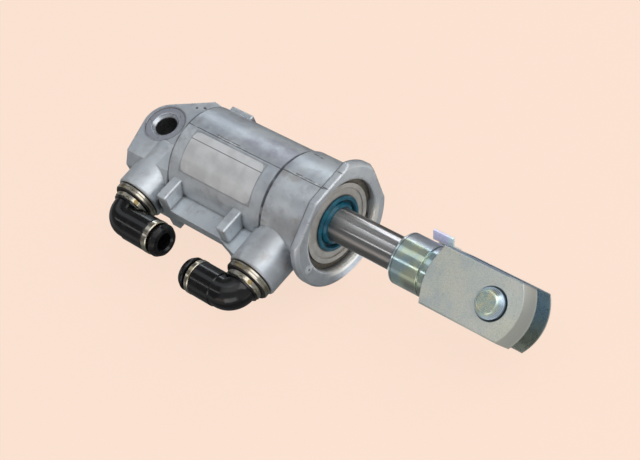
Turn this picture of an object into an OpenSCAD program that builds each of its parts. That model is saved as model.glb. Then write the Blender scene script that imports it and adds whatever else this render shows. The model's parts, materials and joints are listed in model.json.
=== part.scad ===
// Compact double-acting pneumatic cylinder, 32 mm bore and 25 mm stroke, stored fully extended.
// Millimetres. Origin: centre of the rear eye. +X runs towards the fork head, +Z along the eye's hole.

/* [Casting] */
// bore radius
bore_r = 16; // [14:0.5:20]
// barrel outside radius
barrel_r = 18.2; // [17:0.1:23]
// radius of the thicker front length
collar_r = 18.9; // [18:0.1:24]
// flange corner radius
flange_r = 22.3; // [20:0.1:28]
// distance from the axis to the flange's top flat
flange_flat_top = 18.9; // [18:0.1:25]
// distance from the axis to the flange's far flat
flange_flat_side = 19.9; // [18:0.1:25]
// rear end of the barrel
barrel_x0 = 16.4; // [14:0.1:20]
// closed end of the bore
bore_x0 = 19.5; // [18:0.1:24]
// start of the thicker front length
collar_x0 = 61; // [50:0.5:70]
// rear face of the flange
flange_x0 = 77.8; // [70:0.1:85]
// front face of the flange
flange_x1 = 80.8; // [75:0.1:90]
// mouth radius in front of the bore
mouth_r = 16.6; // [16:0.1:18]

/* [Rear eye] */
// eye hole radius
eye_r = 4; // [3:0.1:6]
// outside radius round the eye
eye_tip_r = 8.8; // [7:0.1:12]
// half thickness of the lug
lug_half = 8.75; // [6:0.05:12]
// chamfer on each mouth of the eye
eye_chamfer = 1.15; // [0.3:0.05:2]
// radius of the spot face round the eye
spot_r = 7.5; // [6:0.1:8.5]
// depth of the spot face
spot_depth = 0.25; // [0.1:0.05:0.5]

/* [Ports] */
// rear port position along the barrel
port_rear_x = 7; // [5:0.5:15]
// front port position along the barrel
port_front_x = 66; // [50:0.5:70]
// rear port face distance from the axis
port_rear_face = 26.1; // [22:0.1:32]
// front port face distance from the axis
port_front_face = 31; // [22:0.1:36]
// port boss radius at its root
boss_root_r = 9.4; // [8.5:0.1:11]
// port boss radius at its face
boss_face_r = 9.1; // [8:0.1:11]
// port thread radius, G1/4
port_r = 6.58; // [4.8:0.01:8.4]
// port thread depth
port_depth = 11; // [8:0.5:14]
// air passage radius
duct_r = 2.5; // [1.5:0.1:3.5]
// distance of the rear air duct from the axis
duct_off = 11; // [8:0.5:13]

/* [Ribs and lugs] */
// half height of the square posts and of the far pad
post_half = 8.7; // [6:0.1:10]
// post outer face distance from the axis
post_y = 25.5; // [20:0.1:30]
// post width along the barrel
post_w = 4.2; // [3:0.1:6]
// rear post start
post_rear_x = 19.3; // [17:0.1:24]
// front post start
post_front_x = 47.8; // [40:0.1:50]
// ledge half thickness
ledge_half = 2.2; // [1:0.1:4]
// radius on the posts' edges
post_edge = 0.8; // [0.3:0.1:1.5]
// radius on the edge of each port boss
boss_edge = 0.8; // [0.3:0.1:1.2]

/* [Rod and piston] */
// rod radius
rod_r = 6; // [5:0.5:8]
// stroke
stroke = 25; // [10:1:35]
// front face of the piston as stored, at the end of its stroke
piston_x1 = 60.2; // [55:0.1:64]
// piston length
piston_len = 14; // [10:0.5:18]
// running clearance of the seals and rod, on the radius
run_gap = 0.03; // [0.02:0.01:0.08]
// start of the fork neck
neck_x0 = 106.7; // [100:0.1:115]

/* [Fork head] */
// roll of the fork about the rod as stored
fork_roll = 27.4; // [0:0.1:90]
// fork width over its flats
fork_w = 20; // [16:1:24]
// slot width
slot_w = 10; // [8:1:12]
// neck radius
neck_r = 9; // [7:0.5:11]
// pin centre to the end of the neck
pin_off = 40; // [32:1:48]
// pin centre to the base of the slot
slot_back = 20; // [16:1:24]
// pin radius
pin_r = 5; // [4:0.5:6]
// clip sheet thickness
clip_t = 0.9; // [0.6:0.1:1.2]

/* [Push-in elbows] */
// outlet barrel radius
leg_r = 6.05; // [5.5:0.05:8]
// radius of the elbow's round bend
bend_tube_r = 5.7; // [5.2:0.1:6]
// bend radius at the middle of the bend
bend_r = 4.2; // [3.5:0.1:4.6]
// tube radius
tube_r = 3; // [2:0.5:4]
// stud collar radius
stud_ring_r = 8.25; // [7.5:0.1:10]
// port face to the end of the stud collar
stud_ring_t = 2.4; // [1.5:0.1:4]
// black washer thickness
skirt_t = 0.25; // [0.15:0.05:0.5]
// second ring radius
drive_r = 6.8; // [6:0.1:8]
// second ring thickness
drive_t = 1.95; // [1:0.05:3]
// port face to the elbow's outlet axis
leg_drop = 9.5; // [8:0.1:12]
// rear swivel axis to its metal end ring
reach_rear = 16.4; // [12:0.1:18]
// front swivel axis to its metal end ring
reach_front = 15.1; // [12:0.1:18]
// rear metal end ring width
ring_w_rear = 2.4; // [1:0.1:3]
// front metal end ring width
ring_w_front = 1.9; // [1:0.1:3]
// release sleeve flange length
sleeve_t = 2.6; // [2:0.1:5]
// release sleeve travel
sleeve_travel = 1; // [0.5:0.1:1.5]

/* [Hidden] */
$fn = 72;
eps = 0.01;
rear_web_y = post_y - 1.7;
fit = 0.02;
piston_x0 = piston_x1 - piston_len;
piston_r = bore_r - 0.15;
seal_run_r = bore_r - run_gap;
groove_r = 12.4;
seal_w = 3;
guide_w = 3.4;
groove_play = 0.1;
seal_rear_x = piston_x0 + 1;
seal_front_x = piston_x1 - 1 - seal_w - 2 * groove_play;
guide_x = piston_x0 + piston_len / 2 - guide_w / 2 - groove_play;
nut_seat_x = piston_x0 + 6.8;
nut_h = 5;
nut_af = 13;
nut_pocket_r = 7.8;
spigot_r = 4;
shoulder_x = piston_x1 - 2;
gland_x0 = 61.8;
gland_step_x = 70;
gland_front_x = 76.8;
cap_face_x = 78.65;
cap_rim_r = 14.4;
cap_step_r = 12.7;
gland_spigot_r = 14.4;
gland_r = bore_r - fit;
clip_ring_t = 1.2;
clip_ring_x = gland_front_x + 0.05;
clip_groove_r = 17.1;
clip_groove_w = 1.3;
wiper_r = 9.95;
wiper_x0 = 76.3;
bush_x0 = 62.6;
bush_x1 = 71.6;
bush_r = 7.4;
seal_x0 = 72.4;
seal_x1 = 75.6;
rod_seal_r = 9;
oring_x = 73.2;
oring_w = 2.5;
oring_depth = 1.7;
rod_run_r = rod_r + run_gap;
slot_x = neck_x0 + pin_off - slot_back;
pin_x = neck_x0 + pin_off;
neck_x1 = neck_x0 + 14.8;
fork_half = fork_w / 2;
fork_edge = 0.5;
dome_r = 18.3;
dome_x = pin_x + 13.1 - dome_r;
thread_r = 5;
pin_hole_r = pin_r + 0.03;
pin_mouth_r = 5.6;
pin_mouth_d = 0.6;
pin_nose = 13.3;
pin_nose_r = 3.5;
clip_z = -fork_half - 0.3;
rivet_r = 3;
clip_head_r = pin_r + 2.6;
clip_waist = pin_r + 1.2;
lip_y = neck_r + 0.2;
lip_x0 = neck_x0 + 3.6;
lip_x1 = neck_x0 + 11.6;
label_in = barrel_r + 0.01;
label_out = barrel_r + 0.13;
label_x0 = 21.9;
label_x1 = 54.5;
label_half = 7.35;
label_mid = 27.7;
label_corner = 2.4;
seal_face_t = 0.2;
ring_edge = 0.25;
spig_r = 3.6;
spig_run_r = spig_r + 0.06;
spig_len = 2.4;
spig_bore = 2;
spig_groove = 0.8;
swivel_oring_r = 0.4;
skirt_y = stud_ring_t;
drive_y = stud_ring_t + skirt_t + 0.05;
leg_y = drive_y + drive_t + 0.1;
swivel_oring_y = leg_y + 0.65;
lip_t = 0.6;
leg_lip_r = 6.5;
swell_x = 5.8;
swell_len = 0.3;
sleeve_nose = 1.7;
sleeve_nose_drop = 1.5;
elbow_duct_r = 2;
ring_clear = 0.25;
socket_r = tube_r + 0.05;
sleeve_r = 4.35;
sleeve_hole_r = sleeve_r + 0.05;
sleeve_flange_r = leg_r - 0.1;
sleeve_end_r = sleeve_flange_r - sleeve_nose_drop;
sleeve_bore_r = tube_r + 0.08;
pocket_r = 4.7;
pocket_depth = 6.8;
tube_ring_in = 5.9;
grip_in = 4.1;

module xcyl(x0, x1, r) {
  translate([x0, 0, 0]) rotate([0, 90, 0]) cylinder(h = x1 - x0, r = r);
}

module xcone(x0, x1, r0, r1) {
  translate([x0, 0, 0]) rotate([0, 90, 0]) cylinder(h = x1 - x0, r1 = r0, r2 = r1);
}

module xring(x0, x1, r_in, r_out) {
  difference() {
    xcyl(x0, x1, r_out);
    xcyl(x0 - 1, x1 + 1, r_in);
  }
}

// a round bar that runs out towards the ports, from depth y0 to depth y1
module ycyl(x, y0, y1, r0, r1) {
  translate([x, -y0, 0]) rotate([90, 0, 0]) cylinder(h = y1 - y0, r1 = r0, r2 = r1);
}

// a rectangle of size [w, h] with round corners, centred
module round_rect(w, h, r) {
  square([w - 2 * r, h], center = true);
  square([w, h - 2 * r], center = true);
  for (x = [r - w / 2, w / 2 - r])
    for (y = [r - h / 2, h / 2 - r])
      translate([x, y]) circle(r = r);
}

// a block with one corner at the origin and all its edges round
module soft_block(size, r) {
  translate(size / 2) intersection() {
    linear_extrude(height = size[2], center = true) round_rect(size[0], size[1], r);
    rotate([90, 0, 0]) linear_extrude(height = size[1], center = true) round_rect(size[0], size[2], r);
    rotate([0, 90, 0]) linear_extrude(height = size[0], center = true) round_rect(size[2], size[1], r);
  }
}

module lug_plan() {
  circle(r = eye_tip_r);
  polygon([
    [-8.47, -2.39], [-4.7, -15.5], [barrel_x0 + 0.5, -15.5], [barrel_x0 + 0.5, 15.8],
    [14, 15.8], [10.6, 16.3], [-4.43, 7.6], [0, 0]
  ]);
}

module port_root() {
  translate([-4.6, 0, 0]) rotate([90, 0, 90]) linear_extrude(height = barrel_x0 + 4.8)
    polygon([
      [-9, lug_half], [-15.5, lug_half], [-18.6, 4.2], [-18.6, -4.2], [-15.5, -lug_half], [-9, -lug_half]
    ]);
}

module ledge_plan() {
  polygon([
    [barrel_x0 - 1, -13], [barrel_x0 - 1, -23.5], [post_rear_x, -post_y], [46.5, -post_y],
    [51.7, -27], [55.2, -27.9], [59, -28.6], [59, -13]
  ]);
  polygon([[post_rear_x + post_w, -17], [post_rear_x + post_w, -post_y], [post_rear_x + post_w + 2.6, -17]]);
}

module post(x) {
  translate([x, -post_y, -post_half]) soft_block([post_w, post_y - 12, 2 * post_half], post_edge);
}

// closes the underside between the rear port boss and the rear post
module lower_web() {
  translate([port_rear_x, -rear_web_y, -post_half])
    cube([post_rear_x - port_rear_x + 1, rear_web_y - 12, post_half]);
}

module boss(x, face) {
  translate([x, 0, 0]) rotate([90, 0, 0]) rotate_extrude() {
    polygon([
      [0, 6], [boss_root_r, 6], [boss_face_r, face - boss_edge], [boss_face_r - boss_edge, face - boss_edge],
      [boss_face_r - boss_edge, face], [0, face]
    ]);
    translate([boss_face_r - boss_edge, face - boss_edge]) intersection() {
      circle(r = boss_edge);
      square(boss_edge);
    }
  }
}

module flange_blank() {
  intersection() {
    union() {
      xcyl(flange_x0, flange_x1 - 0.9, flange_r);
      xcone(flange_x1 - 0.9 - eps, flange_x1, flange_r, flange_r - 1.1);
    }
    translate([flange_x0 - 1, -30, -30]) cube([6, 30 + flange_flat_side, 30 + flange_flat_top]);
    rotate([32, 0, 0]) translate([flange_x0 - 1, -30, -30]) cube([6, 60, 30 + flange_flat_top + 0.3]);
  }
}

module port_hole(x, face) {
  ycyl(x, face - port_depth, face + 0.1, port_r + fit, port_r + fit);
  ycyl(x, face - 0.7, face + 0.01, port_r + fit, port_r + 0.7);
}

module body_casting() {
  color([0.72, 0.73, 0.76]) difference() {
    union() {
      translate([0, 0, -lug_half]) linear_extrude(height = 2 * lug_half) lug_plan();
      port_root();
      xcyl(barrel_x0, collar_x0 + 0.5, barrel_r);
      xcyl(collar_x0 + 0.35, flange_x0 + 0.5, collar_r);
      xcone(collar_x0, collar_x0 + 0.35 + eps, barrel_r, collar_r);
      flange_blank();
      boss(port_rear_x, port_rear_face);
      boss(port_front_x, port_front_face);
      translate([0, 0, -ledge_half]) linear_extrude(height = 2 * ledge_half) ledge_plan();
      lower_web();
      post(post_rear_x);
      post(post_front_x);
      translate([17.4, 8, -post_half]) soft_block([10.4, 10.1, 2 * post_half], post_edge);
      translate([0, -18.8, -1.5]) xcyl(flange_x1 - 0.5, flange_x1 + 0.2, 1.3);
    }
    xcyl(bore_x0, flange_x1 + 1, bore_r);
    xcyl(gland_front_x - 0.1, flange_x1 + 1, mouth_r);
    xcone(flange_x1 - 0.5, flange_x1 + 0.3, mouth_r - 0.2, mouth_r + 0.6);
    xring(clip_ring_x - 0.05, clip_ring_x - 0.05 + clip_groove_w, 10, clip_groove_r);
    translate([0, 0, -lug_half - 1]) cylinder(h = 2 * lug_half + 2, r = eye_r);
    for (s = [-1, 1]) {
      translate([0, 0, s * (lug_half - spot_depth / 2 + 0.5)])
        cylinder(h = spot_depth + 1, r = spot_r, center = true);
      translate([0, 0, s * (lug_half - spot_depth)]) rotate([s > 0 ? 180 : 0, 0, 0])
        cylinder(h = eye_chamfer, r1 = eye_r + eye_chamfer, r2 = eye_r);
    }
    port_hole(port_rear_x, port_rear_face);
    port_hole(port_front_x, port_front_face);
    ycyl(port_rear_x, duct_off - duct_r, port_rear_face - 4, duct_r, duct_r);
    translate([0, -duct_off, 0]) xcyl(port_rear_x, bore_x0 + 0.5, duct_r);
    ycyl(port_front_x, bore_r - 3, port_front_face - 4, duct_r + 0.5, duct_r + 0.5);
  }
}

module gland() {
  color([0.72, 0.69, 0.62]) difference() {
    union() {
      xcyl(gland_x0, gland_step_x + eps, gland_spigot_r);
      xcyl(gland_step_x, gland_front_x - 0.05, gland_r);
      xcyl(gland_front_x - 0.1, cap_face_x, cap_rim_r);
    }
    xcyl(gland_x0 - 1, bush_x1, bush_r + fit);
    xcyl(bush_x1 - 1, seal_x0 + 1, rod_r + 0.3);
    xcyl(seal_x0 - 0.1, wiper_x0 + eps, rod_seal_r + 0.05);
    xcyl(wiper_x0, cap_face_x + 1, wiper_r + 0.03);
    xcyl(cap_face_x - 0.35, cap_face_x + 1, cap_step_r);
    xring(oring_x - oring_w / 2 - 0.1, oring_x + oring_w / 2 + 0.1, gland_r - oring_depth, gland_r + 1);
    for (a = [0, 90, 180, 270])
      rotate([a + 45, 0, 0]) translate([gland_x0 - 1, -1.5, 12]) cube([4, 3, 4]);
  }
}

module gland_oring() {
  color([0.05, 0.05, 0.05])
    xring(oring_x - oring_w / 2, oring_x + oring_w / 2, gland_r - oring_depth + fit, bore_r - fit / 2);
}

module rod_bush() {
  color([0.55, 0.4, 0.2]) xring(bush_x0, bush_x1 - 0.05, rod_run_r, bush_r);
}

module rod_seal() {
  color([0.1, 0.1, 0.11]) difference() {
    xring(seal_x0, seal_x1, rod_run_r, rod_seal_r);
    xring(seal_x0 - 1, seal_x0 + 1.2, rod_r + 1.1, rod_seal_r - 1);
  }
}

module rod_wiper() {
  color([0.05, 0.4, 0.5]) translate([0, 0, 0]) rotate([0, 90, 0]) rotate_extrude()
    polygon([
      [rod_run_r, wiper_x0 + 0.9], [7.4, wiper_x0 + 0.2], [wiper_r, wiper_x0 + 0.05],
      [wiper_r, cap_face_x + 0.35], [wiper_r - 0.3, cap_face_x + 0.6], [8.7, cap_face_x + 0.6],
      [8.4, cap_face_x + 0.1], [8.1, cap_face_x - 0.6], [7.7, cap_face_x - 0.6],
      [7.3, cap_face_x + 0.1], [6.8, cap_face_x + 0.85], [rod_run_r, cap_face_x + 0.95]
    ]);
}

module circlip() {
  color([0.35, 0.34, 0.32]) difference() {
    xring(clip_ring_x, clip_ring_x + clip_ring_t, cap_rim_r + 0.2, clip_groove_r - 0.1);
    rotate([-120, 0, 0]) translate([clip_ring_x - 1, -3.2, 12]) cube([clip_ring_t + 2, 6.4, 8]);
  }
}

module label_plate() {
  color([0.86, 0.86, 0.86]) rotate([label_mid, 0, 0]) intersection() {
    xring(label_x0 - 1, label_x1 + 1, label_in, label_out);
    translate([0, 0, 5]) linear_extrude(height = 20)
      translate([(label_x0 + label_x1) / 2, 0]) round_rect(label_x1 - label_x0, 2 * label_half, label_corner);
  }
}

module bumper_rear() {
  color([0.12, 0.12, 0.12]) xring(bore_x0 + 0.02, piston_x0 - stroke - 0.1, bore_r - 2.1, bore_r - 0.3);
}

module bumper_front() {
  color([0.12, 0.12, 0.12]) xring(piston_x1 + 0.1, gland_x0 - 0.02, rod_r + 2.2, rod_r + 5.6);
}

module piston_seals() {
  color([0.08, 0.08, 0.08]) for (x = [seal_rear_x + groove_play, seal_front_x + groove_play])
    difference() {
      xring(x, x + seal_w, groove_r + 0.04, seal_run_r);
      translate([x < guide_x ? x - 1 : x + seal_w - 1.3, 0, 0])
        xring(0, 2.3, groove_r + 1.2, seal_run_r - 1.1);
    }
}

module guide_ring() {
  color([0.75, 0.72, 0.62])
    xring(guide_x + groove_play, guide_x + groove_play + guide_w, groove_r + 1.54, seal_run_r);
}

module piston() {
  color([0.7, 0.7, 0.72]) difference() {
    xcyl(piston_x0, piston_x1, piston_r);
    xring(seal_rear_x, seal_rear_x + seal_w + 2 * groove_play, groove_r, piston_r + 1);
    xring(seal_front_x, seal_front_x + seal_w + 2 * groove_play, groove_r, piston_r + 1);
    xring(guide_x, guide_x + guide_w + 2 * groove_play, groove_r + 1.5, piston_r + 1);
    xcyl(piston_x0 - 1, nut_seat_x, nut_pocket_r);
    xcyl(piston_x0, piston_x1, spigot_r + fit);
    xcyl(shoulder_x, piston_x1 + 1, rod_r + fit);
  }
}

module piston_nut() {
  color([0.6, 0.6, 0.6]) difference() {
    translate([nut_seat_x - nut_h - 0.02, 0, 0]) rotate([0, 90, 0])
      cylinder(h = nut_h, r = nut_af / sqrt(3), $fn = 6);
    xcyl(piston_x0 - 1, nut_seat_x + 1, spigot_r + fit);
  }
}

module piston_rod() {
  color([0.8, 0.8, 0.8]) union() {
    xcone(piston_x0 + 0.6, piston_x0 + 1.2, spigot_r - 0.6, spigot_r);
    xcyl(piston_x0 + 1.2 - eps, shoulder_x + 1, spigot_r);
    xcyl(shoulder_x + 0.02, neck_x0 - 0.02, rod_r);
    xcyl(neck_x0 - 1, neck_x0 + 14, thread_r - fit);
    xcone(neck_x0 + 14 - eps, neck_x0 + 14.9, thread_r - fit, thread_r - 0.9);
  }
}

module fork_bar(x0, x1) {
  translate([x0, 0, 0]) rotate([90, 0, 90]) linear_extrude(height = x1 - x0)
    polygon([
      [-fork_half, fork_edge - fork_half], [fork_edge - fork_half, -fork_half],
      [fork_half - fork_edge, -fork_half], [fork_half, fork_edge - fork_half],
      [fork_half, fork_half - fork_edge], [fork_half - fork_edge, fork_half],
      [fork_edge - fork_half, fork_half], [-fork_half, fork_half - fork_edge]
    ]);
}

module fork_shape() {
  union() {
    intersection() {
      fork_bar(neck_x1, dome_x + eps);
      xcone(neck_x1, dome_x + 1, 9.2, 9.2 + 1.8 * (dome_x + 1 - neck_x1));
    }
    intersection() {
      fork_bar(dome_x, dome_x + 25);
      translate([dome_x, 0, 0]) rotate([0, 90, 0]) sphere(r = dome_r);
    }
    xcone(neck_x0, neck_x0 + 1.1, neck_r - 1.1, neck_r);
    xcyl(neck_x0 + 1.1 - eps, neck_x0 + 11.9, neck_r);
    xcyl(neck_x0 + 11.8, neck_x0 + 12.9, neck_r - 0.5);
    xcyl(neck_x0 + 12.8, neck_x1 + 0.1, neck_r + 0.15);
  }
}

module fork_head() {
  color([0.66, 0.69, 0.66]) rotate([fork_roll, 0, 0]) difference() {
    fork_shape();
    xcyl(neck_x0 - 1, slot_x + 1, thread_r);
    xcone(neck_x0 - eps, neck_x0 + 0.9, rod_r + 0.1, thread_r - 0.1);
    translate([slot_x, -30, -slot_w / 2]) cube([60, 60, slot_w]);
    translate([pin_x, 0, -30]) cylinder(h = 60, r = pin_hole_r);
    translate([pin_x, 0, fork_half - pin_mouth_d])
      cylinder(h = pin_mouth_d + eps, r1 = pin_r, r2 = pin_mouth_r);
    translate([pin_x, 0, -fork_half - eps])
      cylinder(h = pin_mouth_d + eps, r1 = pin_mouth_r, r2 = pin_r);
  }
}

module clevis_pin() {
  color([0.75, 0.76, 0.74]) rotate([fork_roll, 0, 0]) translate([pin_x, 0, 0]) union() {
    translate([0, 0, clip_z + 0.02]) cylinder(h = 11.3 - clip_z, r = pin_r);
    translate([0, 0, 11.3]) cylinder(h = pin_nose - 11.3, r1 = pin_r, r2 = pin_nose_r);
    translate([0, 0, clip_z - clip_t - 0.12]) cylinder(h = clip_t + 1, r = rivet_r);
    translate([0, 0, clip_z - clip_t - 0.82]) cylinder(h = 0.72, r1 = 3.6, r2 = 4.3);
  }
}

module clip_plan() {
  translate([pin_x, 0]) circle(r = clip_head_r);
  polygon([
    [pin_x, -clip_head_r], [pin_x, clip_head_r], [lip_x1 + 5, clip_waist], [lip_x1, lip_y + 0.4],
    [lip_x0, lip_y + 0.4], [lip_x0, -lip_y + 0.5], [lip_x1 - 1, -lip_y + 0.5], [lip_x1 + 5, -clip_waist]
  ]);
}

module pin_clip() {
  color([0.7, 0.66, 0.82]) rotate([fork_roll, 0, 0]) difference() {
    union() {
      translate([0, 0, clip_z - clip_t]) linear_extrude(height = clip_t) clip_plan();
      translate([lip_x0, -lip_y - clip_t + 0.5, clip_z - clip_t]) cube([lip_x1 - lip_x0 - 1, clip_t, 2]);
      translate([lip_x0, 0, 0]) rotate([90, 0, 90]) linear_extrude(height = lip_x1 - lip_x0)
        polygon([
          [lip_y, clip_z - clip_t], [lip_y + clip_t, clip_z - clip_t], [lip_y + clip_t, -6.2],
          [lip_y + 3.3, -4], [lip_y + 2.7, -3.4], [lip_y, -5.8]
        ]);
    }
    translate([pin_x, 0, -30]) cylinder(h = 30, r = rivet_r + 0.05);
  }
}

// a nickel ring from depth y0 to depth y1 with small edges
module edged_ring(y0, y1, r) {
  translate([0, 0, y0]) cylinder(h = ring_edge + eps, r1 = r - ring_edge, r2 = r);
  translate([0, 0, y0 + ring_edge]) cylinder(h = y1 - y0 - 2 * ring_edge, r = r);
  translate([0, 0, y1 - ring_edge - eps]) cylinder(h = ring_edge + eps, r1 = r, r2 = r - ring_edge);
}

module stud(x, face) {
  translate([x, -face, 0]) rotate([90, 0, 0]) difference() {
    union() {
      translate([0, 0, -9]) cylinder(h = 9.5, r = port_r);
      edged_ring(seal_face_t + fit, stud_ring_t, stud_ring_r);
      cylinder(h = drive_y + 1, r = drive_r - 1.2);
      edged_ring(drive_y, drive_y + drive_t, drive_r);
      cylinder(h = leg_y + spig_len, r = spig_r);
    }
    translate([0, 0, -10]) cylinder(h = 40, r = spig_bore);
    translate([0, 0, swivel_oring_y]) difference() {
      cylinder(h = 2 * swivel_oring_r + 0.2, r = 8);
      translate([0, 0, -1]) cylinder(h = 4, r = spig_r - spig_groove);
    }
    translate([0, 0, stud_ring_t / 2]) difference() {
      cylinder(h = 0.25, r = 12);
      translate([0, 0, -1]) cylinder(h = 3, r = stud_ring_r - 0.12);
    }
    for (a = [15 : 60 : 315])
      rotate([0, 0, a]) translate([drive_r - 0.4, 0, drive_y + drive_t]) rotate([0, 90, 0])
        cylinder(h = 2, r = 0.9);
  }
}

module port_studs() {
  color([0.74, 0.71, 0.66]) union() {
    stud(port_rear_x, port_rear_face);
    stud(port_front_x, port_front_face);
  }
}

module port_seals() {
  color([0.04, 0.04, 0.04]) for (p = [[port_rear_x, port_rear_face], [port_front_x, port_front_face]])
    translate([p[0], -p[1] - 0.02, 0]) rotate([90, 0, 0]) difference() {
      cylinder(h = seal_face_t - fit, r = stud_ring_r - 0.25);
      translate([0, 0, -1]) cylinder(h = 4, r = port_r + 0.75);
    }
}

module stud_skirts() {
  color([0.03, 0.03, 0.03]) for (p = [[port_rear_x, port_rear_face], [port_front_x, port_front_face]])
    translate([p[0], -p[1] - skirt_y - 0.02, 0]) rotate([90, 0, 0]) difference() {
      cylinder(h = skirt_t, r = stud_ring_r - 0.4);
      translate([0, 0, -1]) cylinder(h = 4, r = drive_r - 1.2 + fit);
    }
}

module swivel_orings() {
  color([0.04, 0.04, 0.04]) for (p = [[port_rear_x, port_rear_face], [port_front_x, port_front_face]])
    translate([p[0], -p[1] - swivel_oring_y - 0.1 - swivel_oring_r, 0]) rotate([90, 0, 0])
      rotate_extrude() translate([spig_r - spig_groove + fit + swivel_oring_r, 0]) circle(r = swivel_oring_r);
}

// a round quarter bend from straight up the swivel axis to straight out along the outlet
module quarter_bend(r) {
  translate([bend_r, 0, leg_drop - bend_r]) rotate([90, 0, 0]) rotate([0, 0, 90]) rotate_extrude(angle = 90)
    intersection() {
      translate([bend_r, 0]) circle(r = r);
      translate([0, -10]) square([20, 20]);
    }
}

// the elbow in its own frame: swivel axis on Z from the port face, outlet along +X
module elbow(reach) {
  difference() {
    union() {
      translate([0, 0, leg_y]) cylinder(h = lip_t - 0.2, r = leg_lip_r);
      translate([0, 0, leg_y + lip_t - 0.2 - eps]) cylinder(h = 0.2, r1 = leg_lip_r, r2 = leg_lip_r - 0.2);
      translate([0, 0, leg_y]) cylinder(h = leg_drop - bend_r - leg_y + eps, r = bend_tube_r);
      quarter_bend(bend_tube_r);
      translate([0, 0, leg_drop]) {
        xcyl(bend_r - eps, swell_x + swell_len, bend_tube_r);
        xcone(swell_x, swell_x + swell_len, bend_tube_r, leg_r);
        xcyl(swell_x + swell_len - eps, reach - 0.4, leg_r);
        xcone(reach - 0.4 - eps, reach, leg_r, leg_r - 0.2);
      }
    }
    translate([0, 0, -1]) cylinder(h = leg_y + 0.98, r = drive_r + ring_clear);
    cylinder(h = leg_y + spig_len + 0.3, r = spig_run_r);
    cylinder(h = leg_drop, r = elbow_duct_r);
    translate([0, 0, leg_drop]) {
      sphere(r = elbow_duct_r + 0.02);
      xcyl(0, reach - pocket_depth + 0.1, elbow_duct_r);
      xcyl(reach - pocket_depth - 3, reach + 1, socket_r);
      xcyl(reach - pocket_depth, reach + 1, pocket_r);
    }
  }
}

module at_rear_port() {
  translate([port_rear_x, -port_rear_face, 0]) rotate([90, 0, 0]) children();
}

module at_front_port() {
  translate([port_front_x, -port_front_face, 0]) rotate([90, 0, 0]) rotate([0, 0, 180]) children();
}

module cap_ring(reach, width) {
  translate([reach, 0, leg_drop]) difference() {
    union() {
      xcone(fit, 0.3, leg_r - 0.1, leg_r + 0.1);
      xcyl(0.3 - eps, width - 0.3, leg_r + 0.1);
      xcone(width - 0.3 - eps, width, leg_r + 0.1, leg_r - 0.2);
      xcyl(-2.4, 0.5, pocket_r - fit);
    }
    xcyl(-3, width + 1, sleeve_hole_r);
  }
}

module grip_ring(reach) {
  translate([reach - grip_in, 0, leg_drop]) difference() {
    xcone(0, 1, 4.3, 4.6);
    xcone(-eps, 1 + eps, tube_r + 0.05, tube_r + 0.9);
    for (a = [0 : 45 : 315])
      rotate([a, 0, 0]) translate([-1, -0.25, 2]) cube([3, 0.5, 1.9]);
  }
}

module tube_oring(reach) {
  translate([reach - tube_ring_in, 0, leg_drop]) rotate([0, 90, 0])
    rotate_extrude() translate([3.87, 0]) circle(r = 0.8);
}

module release(reach, width) {
  face_x = width + sleeve_travel + 0.1;
  end_x = face_x + sleeve_t;
  nose_x = end_x - sleeve_nose;
  translate([reach, 0, leg_drop]) difference() {
    union() {
      xcyl(-1.7, face_x + 0.5, sleeve_r);
      xcone(face_x, face_x + 0.4, sleeve_flange_r - 0.4, sleeve_flange_r);
      xcyl(face_x + 0.4 - eps, nose_x, sleeve_flange_r);
      xcone(nose_x - eps, end_x - 0.4, sleeve_flange_r, sleeve_flange_r - sleeve_nose_drop / 2);
      xcone(end_x - 0.4 - eps, end_x, sleeve_flange_r - sleeve_nose_drop / 2, sleeve_end_r);
    }
    xcyl(-10, 20, sleeve_bore_r);
    xcone(end_x - 0.7, end_x + eps, sleeve_bore_r, sleeve_bore_r + 0.7);
  }
}

module elbow_rear() {
  color([0.06, 0.06, 0.065]) at_rear_port() elbow(reach_rear);
}

module elbow_front() {
  color([0.06, 0.06, 0.065]) at_front_port() elbow(reach_front);
}

module cap_ring_rear() {
  color([0.8, 0.78, 0.74]) at_rear_port() cap_ring(reach_rear, ring_w_rear);
}

module cap_ring_front() {
  color([0.8, 0.78, 0.74]) at_front_port() cap_ring(reach_front, ring_w_front);
}

module grip_ring_rear() {
  color([0.75, 0.75, 0.75]) at_rear_port() grip_ring(reach_rear);
}

module grip_ring_front() {
  color([0.75, 0.75, 0.75]) at_front_port() grip_ring(reach_front);
}

module tube_oring_rear() {
  color([0.05, 0.05, 0.05]) at_rear_port() tube_oring(reach_rear);
}

module tube_oring_front() {
  color([0.05, 0.05, 0.05]) at_front_port() tube_oring(reach_front);
}

module release_rear() {
  color([0.03, 0.03, 0.03]) at_rear_port() release(reach_rear, ring_w_rear);
}

module release_front() {
  color([0.03, 0.03, 0.03]) at_front_port() release(reach_front, ring_w_front);
}

// which node to build, or "all"

body_casting();
gland();
gland_oring();
rod_bush();
rod_seal();
rod_wiper();
circlip();
label_plate();
bumper_rear();
bumper_front();
port_studs();
port_seals();
stud_skirts();
swivel_orings();
piston_seals();
guide_ring();
piston();
piston_nut();
piston_rod();
fork_head();
clevis_pin();
pin_clip();
elbow_rear();
elbow_front();
cap_ring_rear();
cap_ring_front();
grip_ring_rear();
grip_ring_front();
tube_oring_rear();
tube_oring_front();
release_rear();
release_front();
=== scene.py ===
"""Looks for the compact pneumatic cylinder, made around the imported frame. Units are metres."""
import json
import math

import bpy
from mathutils import Matrix, Vector


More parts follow.
